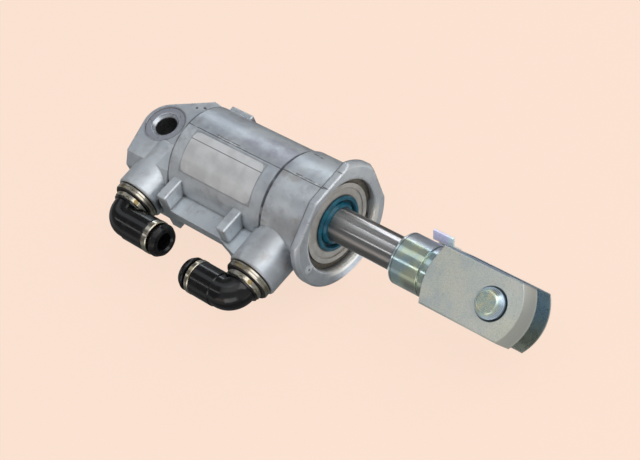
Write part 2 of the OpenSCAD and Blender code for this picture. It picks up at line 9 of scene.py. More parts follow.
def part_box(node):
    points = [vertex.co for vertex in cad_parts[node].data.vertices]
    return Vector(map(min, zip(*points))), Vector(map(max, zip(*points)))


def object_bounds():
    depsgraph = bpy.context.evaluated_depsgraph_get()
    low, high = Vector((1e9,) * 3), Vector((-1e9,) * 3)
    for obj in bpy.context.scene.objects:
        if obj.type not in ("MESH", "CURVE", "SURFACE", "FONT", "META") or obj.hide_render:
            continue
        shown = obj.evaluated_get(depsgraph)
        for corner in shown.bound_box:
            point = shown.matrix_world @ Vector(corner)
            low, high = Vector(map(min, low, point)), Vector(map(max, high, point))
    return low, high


MM = 0.001
PEACH = (0.984, 0.775, 0.651)  # the floor and the horizon
SHARP_DEGREES = 28  # faces that meet at more than this keep a sharp edge

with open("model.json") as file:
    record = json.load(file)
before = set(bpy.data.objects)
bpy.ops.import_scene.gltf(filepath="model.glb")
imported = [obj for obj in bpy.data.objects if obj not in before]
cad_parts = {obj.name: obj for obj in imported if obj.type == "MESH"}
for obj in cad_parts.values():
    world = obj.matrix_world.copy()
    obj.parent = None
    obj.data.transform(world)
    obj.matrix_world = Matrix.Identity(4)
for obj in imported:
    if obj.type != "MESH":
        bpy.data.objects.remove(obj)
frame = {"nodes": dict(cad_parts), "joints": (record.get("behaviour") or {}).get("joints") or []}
cad_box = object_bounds()
nodes = frame["nodes"]


# ---------------------------------------------------------------- places, taken from the frame

floor_z = cad_box[0][2] - 0.02 * MM
middle = Vector((0.07, -0.005, 0))  # what the lamps and cards stand round

# The label is bent round the barrel: its middle and half size, along X and along the bend.
label_low, label_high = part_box("label_plate")
barrel_r = Vector((0, label_high.y, label_high.z)).length
label_x = ((label_low.x + label_high.x) / 2, (label_high.x - label_low.x) / 2)
label_turns = [barrel_r * math.asin(max(-1, -y / barrel_r)) for y in (label_high.y, label_low.y)]
label_s = (sum(label_turns) / 2, (label_turns[1] - label_turns[0]) / 2)

neck_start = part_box("fork_head")[0].x
neck_end = neck_start + 14.8 * MM
pin_low, pin_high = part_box("clevis_pin")
pin_middle = (pin_low + pin_high) / 2
pin_joint = [j for j in frame["joints"] if j["name"] == "pin_pull"][0]
pin_axis = -Vector(pin_joint["axis"])
fork_side = pin_axis.cross(Vector((1, 0, 0)))  # square to the pin and the rod, towards +Y
if fork_side.y < 0:
    fork_side = -fork_side

# Places on the casting that its skin is marked at, as the CAD has them.
EYE_R = 4.0 * MM  # the rear eye's hole
EYE_MOUTH_R = 5.15 * MM  # the outside of its chamfer
SPOT_R = 7.5 * MM  # the spot face round it
SPOT_Z = 8.5 * MM  # the height of that face
BARREL_X = 16.4 * MM  # the barrel's rear end
COLLAR_X = 61.0 * MM  # the step to the thicker front length
FLANGE_BACK = 77.8 * MM
FLANGE_FRONT = 80.8 * MM
LIP_R = 17.1 * MM  # the lip of the flange's recess

# Marks on the casting, in mm: a middle and a half size along each axis.
OILY_PATCH = ((50, 6, 17.5), (17, 8, 5))
DARK_MARKS = [((64.4, 12, 14.6), (1.5, 0.35, 0.7)), ((67, 11.7, 14.9), (0.8, 0.3, 0.6)),
              ((79.6, 7.8, 18.7), (1.4, 0.28, 0.7)), ((79.2, 0.5, 19), (1.8, 0.28, 1.2)),
              ((48.8, -26, 1), (0.7, 0.8, 0.7)), ((53.9, -26.6, 0.5), (0.5, 0.5, 0.5)),
              ((6, 11, 8.75), (0.6, 0.6, 0.4)), ((9, 12.3, 8.75), (1.1, 0.5, 0.4))]
EJECTOR_YZ = (-18.8, -1.5)  # where the ejector pin pressed on the flange's front

# The dark brown spot at the hole in each port stud's ring, in mm.
STUD_SPOTS = [(11.8, -29.8, 4.8), (70.8, -34.7, 4.8)]


# ---------------------------------------------------------------- camera

def sight(azimuth, elevation):
    """The unit vector that points from the object to a place seen at these angles, in degrees."""
    a, e = math.radians(azimuth), math.radians(elevation)
    return Vector((math.sin(a) * math.cos(e), -math.cos(a) * math.cos(e), math.sin(e)))


def placed(place, right, up, out):
    """The matrix of an object at place, with its own axes along right, up and out."""
    return Matrix.Translation(place) @ Matrix((right, up, out)).transposed().to_4x4()


def make_camera(place, azimuth, elevation, roll, lens):
    data = bpy.data.cameras.new("camera")
    data.sensor_width = 36
    data.lens = lens
    data.clip_start = 0.01
    data.clip_end = 100
    camera = bpy.data.objects.new("camera", data)
    bpy.context.scene.collection.objects.link(camera)
    back = sight(azimuth, elevation)
    level = Vector((math.cos(math.radians(azimuth)), math.sin(math.radians(azimuth)), 0))
    turn = math.radians(roll)
    right = level * math.cos(turn) + back.cross(level) * math.sin(turn)
    camera.matrix_world = placed(Vector(place), right, back.cross(right), back)
    bpy.context.scene.camera = camera


make_camera(place=(0.35404, -0.17413, 0.39034), azimuth=58.8, elevation=50.1, roll=-24.25, lens=86.75)


# ---------------------------------------------------------------- node helpers

class Graph:
    """A node tree, with short calls for the nodes that it needs."""

    def __init__(self, owner):
        owner.use_nodes = True
        self.tree = owner.node_tree

    def node(self, kind, inputs=(), **settings):
        made = self.tree.nodes.new(kind)
        for key, value in settings.items():
            setattr(made, key, value)
        for key, value in dict(inputs).items():
            self.plug(made.inputs[key], value)
        return made

    def plug(self, socket, value):
        """Link the socket to another node's, or give it this number, vector or colour."""
        if isinstance(value, bpy.types.NodeSocket):
            self.tree.links.new(value, socket)
        elif socket.type == "RGBA":
            socket.default_value = (*value, 1)
        else:
            socket.default_value = value

    def math(self, operation, a, b=0.0, clamp=False):
        return self.node("ShaderNodeMath", {0: a, 1: b}, operation=operation, use_clamp=clamp).outputs[0]

    def times(self, product, *factors):
        for factor in factors:
            product = self.math("MULTIPLY", product, factor)
        return product

    def total(self, amount, *others):
        for other in others:
            amount = self.math("ADD", amount, other)
        return amount

    def span(self, value, low, high, out_low=0.0, out_high=1.0):
        """value from low..high to out_low..out_high, smoothly, and flat outside."""
        inputs = {"Value": value, "From Min": low, "From Max": high, "To Min": out_low, "To Max": out_high}
        return self.node("ShaderNodeMapRange", inputs, interpolation_type="SMOOTHSTEP").outputs["Result"]

    def mix(self, fac, a, b):
        made = self.node("ShaderNodeMix", data_type="RGBA")
        self.plug(made.inputs["Factor"], fac)
        self.plug(made.inputs[6], a)
        self.plug(made.inputs[7], b)
        return made.outputs[2]

    def split(self, vector):
        made = self.node("ShaderNodeSeparateXYZ", {"Vector": vector})
        return made.outputs[0], made.outputs[1], made.outputs[2]

    def glow(self, colour):
        return self.node("ShaderNodeEmission", {"Color": colour}).outputs[0]

    def end_in(self, shader):
        """Let a material end in this shader, and not in the one that it came with."""
        self.tree.nodes.remove(self.tree.nodes["Principled BSDF"])
        self.plug(self.tree.nodes["Material Output"].inputs["Surface"], shader)


class Surface(Graph):
    """A procedural material whose detail comes from the place on the object."""

    def __init__(self, name, colour, metallic=0.0, roughness=0.5, **values):
        self.material = bpy.data.materials.new(name)
        super().__init__(self.material)
        self.shader = self.tree.nodes["Principled BSDF"]
        self.place = self.node("ShaderNodeTexCoord").outputs["Object"]
        self.to("Base Color", colour)
        self.to("Metallic", metallic)
        self.to("Roughness", roughness)
        for key, value in values.items():
            self.to(key.replace("_", " "), value)

    def to(self, name, value):
        self.plug(self.shader.inputs[name], value)

    def axes(self, vector=None):
        return self.split(vector or self.place)

    def stretched(self, stretch=(1, 1, 1), turn=(0, 0, 0), shift=(0, 0, 0)):
        inputs = {"Vector": self.place, "Scale": stretch, "Rotation": turn, "Location": shift}
        return self.node("ShaderNodeMapping", inputs).outputs["Vector"]

    def vector(self, **parts):
        return self.node("ShaderNodeCombineXYZ", parts).outputs["Vector"]

    def vectors(self, operation, a, b=(0, 0, 0)):
        """A vector for SUBTRACT and DIVIDE, a number for DISTANCE, DOT_PRODUCT and LENGTH."""
        made = self.node("ShaderNodeVectorMath", {0: a, 1: b}, operation=operation)
        return made.outputs["Value" if operation in ("DISTANCE", "DOT_PRODUCT", "LENGTH") else "Vector"]

    def noise(self, scale, detail=2.0, rough=0.5, vector=None, distortion=0.0):
        inputs = {"Vector": vector or self.place, "Scale": scale, "Detail": detail, "Roughness": rough,
                  "Distortion": distortion}
        return self.node("ShaderNodeTexNoise", inputs).outputs["Fac"]

    def radius(self, a, b):
        return self.math("SQRT", self.total(self.times(a, a), self.times(b, b)))

    def oval(self, centre, reach):
        """0 at centre and 1 at reach from it, along each axis. Both are in mm."""
        off = self.vectors("SUBTRACT", self.place, tuple(v * MM for v in centre))
        return self.vectors("LENGTH", self.vectors("DIVIDE", off, tuple(v * MM for v in reach)))

    def band(self, value, centre, half, soft):
        """1 inside centre +- half and 0 outside it, with edges this soft."""
        off = self.math("ABSOLUTE", self.math("SUBTRACT", value, centre))
        return self.span(off, half, half + soft, 1.0, 0.0)

    def paint(self, colour, tint, mask, share):
        """colour with this share of tint over it where mask is 1."""
        return self.mix(self.times(mask, share), colour, tint)

    def crease(self, reach, samples=6):
        """1 in the open and towards 0 in a crease."""
        made = self.node("ShaderNodeAmbientOcclusion", {"Distance": reach}, samples=samples, only_local=False)
        return made.outputs["AO"]

    def crease_shade(self, colour, tint, crease, shut, clear, share):
        """Painted shade: colour with tint in the creases, all of share where crease is under shut, none over
        clear.
        """
        return self.mix(self.span(crease, shut, clear, share, 0), colour, tint)

    def rounded(self, radius, samples=6):
        return self.node("ShaderNodeBevel", {"Radius": radius}, samples=samples).outputs["Normal"]

    def edges(self, radius):
        """The rounded normal, and where it leaves the face's own: 1 on the edges, which wear and a painted
        highlight make bright.
        """
        soft = self.rounded(radius)
        lean = self.vectors("DOT_PRODUCT", soft, self.node("ShaderNodeNewGeometry").outputs["Normal"])
        return soft, self.span(lean, 0.99, 0.85)

    def bump(self, height, strength, distance, normal=None):
        made = self.node("ShaderNodeBump", {"Height": height, "Strength": strength, "Distance": distance})
        if normal is not None:
            self.plug(made.inputs["Normal"], normal)
        return made.outputs["Normal"]


def dress(surface, *names):
    for name in names:
        materials = nodes[name].data.materials
        materials.clear()
        materials.append(surface.material)


# ---------------------------------------------------------------- the casting

def skin(s, cloud, blotch):
    """The mottled grey of the die-cast skin."""
    colour = s.mix(s.span(s.noise(45, 3, 0.6), 0.36, 0.64), (0.51, 0.55, 0.60), (0.68, 0.725, 0.755))
    colour = s.mix(s.span(cloud, 0.5, 0.72, 0, 0.45), colour, (0.40, 0.40, 0.43))
    colour = s.mix(s.span(blotch, 0.54, 0.74, 0, 0.4), colour, (0.80, 0.83, 0.86))
    return s.mix(s.span(blotch, 0.26, 0.42, 0.4, 0), colour, (0.36, 0.36, 0.38))


def stains(s, colour, x, y, z, cloud):
    """A brown stain round the front port's length, an oily patch on top and a dull one near the flange."""
    brown = s.span(s.noise(140, 3, 0.6, s.stretched(shift=(0.4, 0.2, 0.1))), 0.56, 0.7)
    brown = s.times(brown, s.band(x, 68 * MM, 8 * MM, 6 * MM))
    colour = s.paint(colour, (0.42, 0.38, 0.33), brown, 0.45)
    oily = s.times(s.span(s.oval(*OILY_PATCH), 0.4, 1.1, 1, 0), s.span(cloud, 0.3, 0.62, 0.35, 0.85))
    colour = s.mix(oily, colour, (0.40, 0.40, 0.46))
    dull = s.times(s.span(y, -10 * MM, -15 * MM), s.band(x, 72 * MM, 5 * MM, 3 * MM),
                   s.span(z, 6 * MM, 9 * MM))
    return s.paint(colour, (0.36, 0.36, 0.36), dull, 0.45)


def eye_marks(s, colour, z, from_eye, faced):
    """The turned spot face is darker and has a dark rim, and painted shade makes the hole nearly black."""
    colour = s.paint(colour, (0.40, 0.40, 0.46), faced, 0.6)
    rim = s.times(s.band(from_eye, SPOT_R + 0.1 * MM, 0.15 * MM, 0.35 * MM),
                  s.span(z, SPOT_Z - 0.3 * MM, SPOT_Z - 0.1 * MM))
    colour = s.paint(colour, (0.14, 0.13, 0.16), rim, 0.7)
    # painted shade inside the eye's hole
    hole = s.span(from_eye, EYE_R + 0.02 * MM, EYE_R + 0.2 * MM, 0.85, 0)
    return s.mix(hole, colour, (0.05, 0.045, 0.04))


def lip_polish_and_highlight(s, colour, x, y, z, from_axis):
    """The lip of the flange's recess is polished on its lower side, and painted bright there as a painted
    highlight.
    """
    lip = s.times(s.span(x, FLANGE_FRONT - 1.9 * MM, FLANGE_FRONT - 1.3 * MM),
                  s.band(from_axis, LIP_R, 1.0 * MM, 0.9 * MM),
                  s.span(s.total(z, s.times(y, -0.2)), -8 * MM, -13 * MM))
    # painted highlight on the lip's lower side
    return s.paint(colour, (1.0, 0.99, 0.93), lip, 0.9)


def shade_and_grime_at_steps(s, colour, x, from_axis, barrel, fade):
    """Painted shadow and dark oxide along the collar's step, a painted dark reflection on the barrel's
    rounded rear end, and grime along the flange's back.
    """
    # painted shadow and dark oxide before the collar's step
    step = s.times(s.band(x, COLLAR_X - 0.55 * MM, 0.5 * MM, 0.4 * MM), barrel, fade)
    colour = s.paint(colour, (0.05, 0.05, 0.06), step, 0.85)
    # painted dark reflection on the barrel's rounded rear edge
    end = s.times(s.band(x, BARREL_X, 0.3 * MM, 0.45 * MM), s.span(from_axis, 16 * MM, 17 * MM))
    colour = s.mix(s.times(end, s.times(fade, 0.7)), colour, (0.08, 0.08, 0.09))
    back = s.times(s.band(x, FLANGE_BACK + 0.05 * MM, 0.08 * MM, 0.22 * MM), fade)
    return s.paint(colour, (0.07, 0.07, 0.08), back, 0.7)


def parting_lines(s, colour, x, y, z):
    """The die's parting line along the top, doubled in two places with a bright scuff between."""
    across = s.math("SUBTRACT", y, s.times(s.math("SUBTRACT", s.noise(160, 2), 0.5), 0.5 * MM))
    top = s.times(s.span(z, 16 * MM, 17 * MM), s.band(x, 47.5 * MM, 31 * MM, 1 * MM))
    doubled = s.math("MAXIMUM", s.band(x, 36 * MM, 5 * MM, 3 * MM), s.band(x, 71 * MM, 4.5 * MM, 2 * MM))
    line = s.times(s.band(across, 0, 0.06 * MM, 0.16 * MM), s.span(s.noise(330, 2), 0.34, 0.5, 0.25, 0.9))
    broken = s.span(s.noise(700, 3, 0.6, s.stretched(shift=(0.1, 0.3, 0))), 0.4, 0.52)
    twin = s.times(s.band(across, 0.75 * MM, 0.08 * MM, 0.14 * MM), doubled, broken)
    lines = s.times(s.math("MAXIMUM", line, s.times(twin, 0.8)), top)
    colour = s.mix(lines, colour, (0.06, 0.055, 0.06))
    scuff = s.times(s.band(across, 0.38 * MM, 0.1 * MM, 0.2 * MM), s.times(doubled, top),
                    s.span(s.noise(900, 2), 0.45, 0.6))
    return s.paint(colour, (0.95, 0.95, 0.95), scuff, 0.9)


def dark_marks(s, colour):
    """Small dark knocks and pits."""
    for centre, reach in DARK_MARKS:
        mark = s.times(s.span(s.oval(centre, reach), 0.5, 1.1, 1, 0),
                       s.span(s.noise(1100, 2), 0.3, 0.5, 0.4, 1))
        colour = s.paint(colour, (0.07, 0.065, 0.07), mark, 0.85)
    return colour


def label_edge_darkening(s, colour, x, y, z, barrel, fade):
    """Darker on the barrel along the label's edge."""
    bend = s.times(s.math("ARCTAN2", y, z), -barrel_r)
    out_x = s.math("SUBTRACT", s.math("ABSOLUTE", s.math("SUBTRACT", x, label_x[0])), label_x[1])
    out_s = s.math("SUBTRACT", s.math("ABSOLUTE", s.math("SUBTRACT", bend, label_s[0])), label_s[1])
    rim = s.times(s.band(s.math("MAXIMUM", out_x, out_s), 0.1 * MM, 0.15 * MM, 0.5 * MM), fade)
    return s.mix(s.times(rim, s.times(barrel, 0.4)), colour, (0.2, 0.2, 0.2))


def ejector_print(s, colour, x, y, z):
    """The bright print of the ejector pin on the flange, with a dark dot in its middle."""
    at_y, at_z = EJECTOR_YZ
    off = s.radius(s.math("SUBTRACT", y, at_y * MM), s.math("SUBTRACT", z, at_z * MM))
    bright = s.times(s.span(off, 1.55 * MM, 1.75 * MM, 1, 0),
                     s.span(x, FLANGE_FRONT - 0.8 * MM, FLANGE_FRONT - 0.5 * MM))
    colour = s.paint(colour, (0.9, 0.93, 0.96), bright, 0.8)
    dot = s.times(s.span(off, 0.3 * MM, 0.5 * MM, 0.8, 0), bright)
    return s.mix(dot, colour, (0.06, 0.06, 0.07))


def cast_metal():
    """Die-cast skin: mottled, with painted shade in its corners and wear with a painted highlight on its
    edges.
    """
    s = Surface("cast_aluminium", (0.6, 0.62, 0.64), metallic=0.72, roughness=0.46)
    x, y, z = s.axes()
    from_eye, from_axis = s.radius(x, y), s.radius(y, z)
    barrel = s.span(from_axis, 19.3 * MM, 19.6 * MM, 1, 0)
    cloud, blotch = s.noise(190, 4, 0.6), s.noise(650, 4, 0.65)
    fade = s.span(s.noise(260, 2, 0.5), 0.3, 0.5, 0.55, 1)
    faced = s.times(s.span(from_eye, SPOT_R - 0.2 * MM, SPOT_R + 0.1 * MM, 1, 0),
                    s.span(s.math("ABSOLUTE", z), SPOT_Z - 0.5 * MM, SPOT_Z - 0.2 * MM))

    # the flange's edges are rounder than the rest, and edges in a corner get neither wear nor painted
    # highlight
    round_r = s.span(x, FLANGE_BACK - 1.8 * MM, FLANGE_BACK + 1.2 * MM, 0.55 * MM, 1.5 * MM)
    soft, edge_wear_and_highlight = s.edges(round_r)
    crease = s.crease(1.6 * MM)
    edge_wear_and_highlight = s.times(edge_wear_and_highlight, s.span(crease, 0.8, 0.95))

    colour = skin(s, cloud, blotch)
    colour = stains(s, colour, x, y, z, cloud)
    colour = eye_marks(s, colour, z, from_eye, faced)
    # wear and a painted highlight on the edges
    colour = s.paint(colour, (0.92, 0.95, 0.98), edge_wear_and_highlight, 0.85)
    # painted shade in the creases
    colour = s.crease_shade(colour, (0.09, 0.09, 0.10), crease, 0.35, 0.9, 0.9)
    colour = lip_polish_and_highlight(s, colour, x, y, z, from_axis)
    colour = shade_and_grime_at_steps(s, colour, x, from_axis, barrel, fade)
    colour = parting_lines(s, colour, x, y, z)
    colour = dark_marks(s, colour)
    colour = label_edge_darkening(s, colour, x, y, z, barrel, fade)
    s.to("Base Color", ejector_print(s, colour, x, y, z))

    rough = s.total(s.span(blotch, 0.3, 0.7, 0.36, 0.52), s.times(faced, -0.1))
    rough = s.math("SUBTRACT", rough, s.times(edge_wear_and_highlight, 0.12))
    chamfer = s.span(from_eye, EYE_MOUTH_R - 0.05 * MM, EYE_MOUTH_R + 0.05 * MM, 0.12, 0)
    s.to("Roughness", s.math("SUBTRACT", rough, chamfer))
    turned = s.noise(1500, 2, 0.6, s.vector(X=from_eye, Z=z))
    height = s.total(s.times(s.noise(5200, 3, 0.65), 0.3), s.times(s.noise(700, 3, 0.5), 1.3),
                     s.times(turned, faced, 0.4))
    s.to("Normal", s.bump(height, 0.45, 0.06 * MM, soft))
    return s


# ---------------------------------------------------------------- the other materials

def cap_metal():
    """The gland's turned face, with two dark rings, painted shade in its creases and a painted highlight on
    its edges.
    """
    s = Surface("cap_face", (0.5, 0.46, 0.4), metallic=0.35, roughness=0.42)
    _, y, z = s.axes()
    ring = s.radius(y, z)
    tracks = s.noise(2600, 2, 0.5, s.vector(X=ring))
    colour = s.mix(s.span(s.noise(220, 3, 0.55), 0.35, 0.65), (0.47, 0.455, 0.42), (0.58, 0.565, 0.53))
    grooves = s.total(s.band(ring, 12.75 * MM, 0.1 * MM, 0.12 * MM),
                      s.band(ring, 10.15 * MM, 0.1 * MM, 0.2 * MM))
    colour = s.paint(colour, (0.2, 0.18, 0.15), grooves, 0.55)
    colour = s.mix(s.span(tracks, 0.45, 0.7, 0, 0.2), colour, (0.36, 0.33, 0.29))
    # painted shade in the creases
    colour = s.crease_shade(colour, (0.1, 0.09, 0.07), s.crease(1.0 * MM), 0.3, 0.9, 0.6)
    soft, edge_wear_and_highlight = s.edges(0.3 * MM)
    # painted highlight on the edges and ring steps
    s.to("Base Color", s.paint(colour, (0.9, 0.88, 0.82), edge_wear_and_highlight, 0.8))
    s.to("Roughness", s.span(tracks, 0.3, 0.7, 0.34, 0.5))
    s.to("Normal", s.bump(tracks, 0.3, 0.02 * MM, soft))
    return s


def teal_rubber():
    s = Surface("teal_rubber", (0.006, 0.1, 0.15), roughness=0.33, Specular_IOR_Level=0.45)
    fine = s.noise(1800, 3, 0.6)
    colour = s.mix(s.span(s.noise(300, 2), 0.35, 0.7), (0.003, 0.08, 0.13), (0.006, 0.14, 0.21))
    # painted shade in the wiper's grooves and creases
    s.to("Base Color", s.crease_shade(colour, (0.001, 0.008, 0.013), s.crease(0.8 * MM), 0.45, 0.97, 0.95))
    s.to("Roughness", s.span(fine, 0.3, 0.7, 0.25, 0.42))
    s.to("Normal", s.bump(fine, 0.15, 0.02 * MM, s.rounded(0.2 * MM)))
    return s


def polished_rod():
    """Ground chrome: its fine hoops draw each lamp out along the rod."""
    s = Surface("polished_rod", (0.68, 0.675, 0.68), metallic=1.0, roughness=0.23, Anisotropic=1.0,
                Anisotropic_Rotation=0.25)
    s.to("Tangent", s.node("ShaderNodeTangent", direction_type="RADIAL", axis="X").outputs[0])
    hoops = s.noise(4200, 2, 0.6, s.vector(X=s.axes()[0]))
    wipe = s.noise(90, 3, 0.5, s.stretched((0.3, 2, 2)))
    s.to("Base Color", s.mix(s.span(wipe, 0.4, 0.7), (0.43, 0.427, 0.43), (0.37, 0.362, 0.35)))
    s.to("Roughness", s.total(s.span(hoops, 0.3, 0.7, 0.27, 0.31), s.span(wipe, 0.45, 0.8, 0, 0.02)))
    return s


def fork_flats(s, x, y, film, speck, slot, across):
    """The milled end of the fork: pale, with painted shade in the slot and on the rounded end, and a painted
    dark reflection on the upper side.
    """
    pale, yellow = (128 * MM, 146 * MM), (145 * MM, 160 * MM)  # the flats change colour along these
    colour = s.mix(s.span(film, 0.4, 0.62), (0.64, 0.70, 0.68), (0.77, 0.79, 0.69))
    colour = s.mix(s.span(x, *pale, 0, 0.5), colour, (0.86, 0.87, 0.80))
    lower = s.times(s.span(x, *yellow), s.span(y, 2 * MM, -14 * MM, 0.0, 0.55))
    colour = s.mix(lower, colour, (0.84, 0.84, 0.62))
    colour = s.mix(s.span(speck, 0.4, 0.75, 0, 0.45), colour, (0.40, 0.43, 0.41))
    colour = s.mix(s.span(speck, 0.22, 0.4, 0.4, 0), colour, (0.9, 0.92, 0.86))
    # painted shade on the ears' faces inside the slot
    slot_shade = s.mix(s.span(across, -6 * MM, 6 * MM), (0.36, 0.40, 0.34), (0.30, 0.44, 0.52))
    colour = s.mix(slot, colour, slot_shade)
    # painted dark reflection on the upper side face
    colour = s.mix(s.span(across, 9.5 * MM, 9.75 * MM), colour, (0.24, 0.29, 0.36))
    # painted shade on the rounded end
    facing = s.vectors("DOT_PRODUCT", s.rounded(1.3 * MM), tuple(pin_axis))
    domed = s.times(s.span(facing, 0.97, 0.72), s.span(s.math("ABSOLUTE", facing), 0.1, 0.3),
                    s.span(x, 147 * MM, 149 * MM))
    return s.paint(colour, (0.52, 0.53, 0.49), domed, 0.75)


def fork_zinc():
    """Zinc plate with a thin film's faint colours, on the turned neck and the milled end."""
    s = Surface("fork_zinc", (0.5, 0.53, 0.49), metallic=0.82, roughness=0.42)
    x, y, _ = s.axes()
    neck = s.span(x, neck_end - 0.2 * MM, neck_end + 0.1 * MM, 1, 0)
    upper = s.times(s.span(y, 1.6 * MM, 3.2 * MM), neck)
    film = s.noise(90, 3, 0.6, distortion=0.5)
    speck, blot = s.noise(2200, 3, 0.65), s.noise(420, 3, 0.55)
    off = s.vectors("DOT_PRODUCT", s.place, tuple(pin_axis))
    across = s.vectors("DOT_PRODUCT", s.place, tuple(fork_side))
    slot = s.times(s.span(s.math("ABSOLUTE", off), 5.1 * MM, 5.3 * MM, 1, 0),
                   s.span(x, neck_end + 1 * MM, neck_end + 2 * MM))

    turned = s.mix(s.span(film, 0.38, 0.62), (0.52, 0.70, 0.74), (0.76, 0.84, 0.62))
    shaded = s.times(s.span(y, -8 * MM, -8.8 * MM, 0, 0.75), s.span(x, 112 * MM, 115 * MM))
    turned = s.mix(shaded, turned, (0.30, 0.34, 0.36))
    colour = s.mix(neck, fork_flats(s, x, y, film, speck, slot, across), turned)
    colour = s.paint(colour, (0.5, 0.51, 0.62), upper, 0.75)
    # a painted highlight ring on the neck's front chamfer
    edge = s.band(x, neck_start + 1.3 * MM, 0.15 * MM, 0.15 * MM)
    colour = s.paint(colour, (0.9, 0.93, 0.95), edge, 0.7)
    groove = s.band(x, neck_start + 1.8 * MM, 0.1 * MM, 0.15 * MM)
    colour = s.paint(colour, (0.1, 0.11, 0.14), groove, 0.6)
    # painted shade in the creases
    s.to("Base Color", s.crease_shade(colour, (0.05, 0.08, 0.1), s.crease(0.8 * MM), 0.35, 0.9, 0.75))

    rough = s.math("SUBTRACT", s.span(blot, 0.3, 0.7, 0.4, 0.52), s.times(neck, 0.29))
    rough = s.math("SUBTRACT", rough, s.times(slot, 0.18))
    s.to("Roughness", s.total(rough, s.times(upper, 0.2)))
    scratch = s.noise(900, 3, 0.7, s.stretched((0.25, 2.5, 2.5)))
    height = s.total(s.times(speck, 0.35), s.times(blot, 0.35), s.times(scratch, upper, 1.5))
    s.to("Normal", s.bump(height, 0.3, 0.035 * MM, s.rounded(0.3 * MM)))
    return s


def nickel():
    s = Surface("nickel_plate", (0.66, 0.61, 0.52), metallic=1.0, roughness=0.2)
    tracks = s.noise(3200, 2, 0.6, s.vector(X=s.axes()[1]))
    colour = s.mix(s.span(s.noise(260, 3, 0.6), 0.5, 0.68), (0.52, 0.49, 0.42), (0.42, 0.34, 0.19))
    # painted shade in the creases
    colour = s.crease_shade(colour, (0.14, 0.09, 0.02), s.crease(0.5 * MM), 0.4, 0.95, 0.9)
    for spot in STUD_SPOTS:
        away = s.vectors("DISTANCE", s.place, tuple(v * MM for v in spot))
        colour = s.mix(s.span(away, 0.75 * MM, 1.05 * MM, 0.9, 0), colour, (0.16, 0.11, 0.03))
    s.to("Base Color", colour)
    s.to("Roughness", s.span(tracks, 0.3, 0.7, 0.15, 0.28))
    s.to("Normal", s.bump(tracks, 0.25, 0.01 * MM, s.rounded(0.15 * MM)))
    return s


def black_plastic():
    s = Surface("black_plastic", (0.004, 0.004, 0.005), roughness=0.18, Specular_IOR_Level=0.55)
    ripple = s.noise(420, 2, 0.5)
    s.to("Base Color", s.mix(s.span(ripple, 0.35, 0.7), (0.0025, 0.0025, 0.003), (0.006, 0.006, 0.0065)))
    s.to("Roughness", s.span(ripple, 0.3, 0.7, 0.14, 0.22))
    height = s.total(s.times(s.noise(2600, 3, 0.6), 0.1), ripple)
    s.to("Normal", s.bump(height, 0.1, 0.05 * MM))
    return s


def gloss_black():
    s = Surface("gloss_black", (0.005, 0.005, 0.006), roughness=0.22, Specular_IOR_Level=0.4)
    ripple = s.noise(900, 2, 0.5)
    s.to("Base Color", s.mix(s.span(ripple, 0.35, 0.7), (0.004, 0.004, 0.005), (0.008, 0.008, 0.009)))
    s.to("Roughness", s.span(ripple, 0.3, 0.7, 0.15, 0.3))
    s.to("Normal", s.bump(ripple, 0.15, 0.03 * MM, s.rounded(0.3 * MM)))
    return s


def label_film():
    """A bare silver film with one dark dividing line along it."""
    s = Surface("label_film", (0.68, 0.69, 0.70), metallic=0.2, roughness=0.4, Coat_Weight=0.15)
    _, y, z = s.axes()
    bend = s.times(s.math("ARCTAN2", y, z), -1)
    divider = s.band(bend, math.radians(13.5), math.radians(0.35), math.radians(0.15))
    cloud = s.noise(180, 3, 0.5)
    colour = s.mix(s.span(cloud, 0.35, 0.65), (0.57, 0.58, 0.58), (0.67, 0.68, 0.685))
    s.to("Base Color", s.paint(colour, (0.08, 0.08, 0.085), divider, 0.85))
    s.to("Roughness", s.span(cloud, 0.3, 0.7, 0.34, 0.44))
    s.to("Normal", s.bump(s.noise(1600, 2), 0.1, 0.01 * MM))
    return s


def pin_metal():
    """Turned zinc: its end face has fine rings and a fan of soft yellow and green."""
    s = Surface("pin_zinc", (0.6, 0.62, 0.57), metallic=0.95, roughness=0.22)
    tilt = math.atan2(-pin_axis.y, pin_axis.z)
    x, y, _ = s.axes(s.stretched(turn=(-tilt, 0, 0)))
    from_x = s.math("SUBTRACT", x, pin_middle.x)
    ring = s.radius(from_x, y)
    rays = s.noise(1.1, 2, 0.5, s.vector(X=s.math("ARCTAN2", y, from_x)))
    tracks = s.noise(3800, 2, 0.6, s.vector(X=ring))
    colour = s.mix(s.span(rays, 0.4, 0.6), (0.62, 0.80, 0.76), (0.92, 0.94, 0.70))
    colour = s.mix(s.span(ring, 3.7 * MM, 4.6 * MM, 0, 0.9), colour, (0.62, 0.76, 0.95))
    # painted shade in the creases round the pin's end
    s.to("Base Color", s.crease_shade(colour, (0.08, 0.13, 0.18), s.crease(0.6 * MM), 0.35, 0.9, 0.7))
    s.to("Roughness", s.span(tracks, 0.3, 0.7, 0.24, 0.3))
    s.to("Normal", s.rounded(0.8 * MM, 10))
    return s


